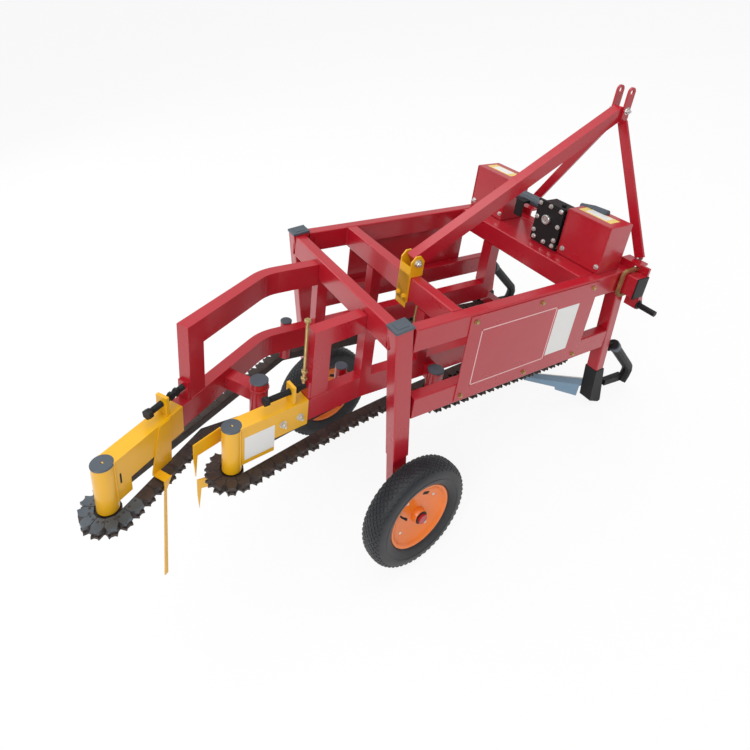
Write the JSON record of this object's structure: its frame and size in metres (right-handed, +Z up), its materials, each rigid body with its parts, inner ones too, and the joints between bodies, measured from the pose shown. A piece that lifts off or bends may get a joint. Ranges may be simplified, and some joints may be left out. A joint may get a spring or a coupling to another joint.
{
  "type": "peanut harvester",
  "caption": "Tractor-mounted peanut harvester: red box frame on two wheels, toothed gripping chains on tail arches, three-point hitch in front.",
  "frame": {"origin": "middle of the bounding box's base, on the floor", "axes": "+X to the machine's right, +Y forward towards the hitch, +Z up"},
  "size_m": [0.899, 2.1604, 1.2423],
  "materials": {
    "red_paint": "gloss",
    "yellow_paint": "gloss",
    "orange_paint": "gloss",
    "black_paint": "satin",
    "grey_paint": "satin",
    "chain_steel": "rough",
    "zinc": "satin",
    "tyre": "matte"
  },
  "bodies": {
    "machine": {"blades": "grey_paint", "chain_1": "chain_steel", "chain_2": "chain_steel", "chain_3": "chain_steel", "chain_4": "chain_steel", "clamp_screws": "zinc", "deck": "red_paint", "dividers": "black_paint", "drive_columns": "red_paint", "drive_shafts": "grey_paint", "front_beam": "red_paint", "gearbox": "black_paint", "guide_barrels": "red_paint", "left_arch": "red_paint", "left_arm": "yellow_paint", "left_cover": "red_paint", "left_front_post": "red_paint", "left_hitch_bracket": "red_paint", "left_leg": "red_paint", "left_lower_rail": "red_paint", "left_mast_leg": "red_paint", "left_rear_post": "red_paint", "left_side_panel": "red_paint", "left_top_rail": "red_paint", "mast_brace": "red_paint", "mid_beam": "red_paint", "rear_beam": "red_paint", "right_arch": "red_paint", "right_arm": "yellow_paint", "right_cover": "red_paint", "right_front_post": "red_paint", "right_hitch_bracket": "red_paint", "right_leg": "red_paint", "right_lower_rail": "red_paint", "right_mast_leg": "red_paint", "right_rear_post": "red_paint", "right_side_panel": "red_paint", "right_top_rail": "red_paint", "shoes": "black_paint", "toolbar": "red_paint", "vine_guards": "yellow_paint"},
    "left_wheel": {"left_rim": "orange_paint", "left_tyre": "tyre"},
    "right_wheel": {"right_rim": "orange_paint", "right_tyre": "tyre"}
  },
  "joints": [
    {"name": "left_wheel_spin", "type": "hinge", "parent": "machine", "child": "left_wheel", "pos_m": [-0.278, -0.2115, 0.20345], "axis": [0.9932, 0.1044, 0.0523], "continuous": true},
    {"name": "right_wheel_spin", "type": "hinge", "parent": "machine", "child": "right_wheel", "pos_m": [0.382, -0.2115, 0.20345], "axis": [0.9932, 0.1044, 0.0523], "continuous": true}
  ]
}
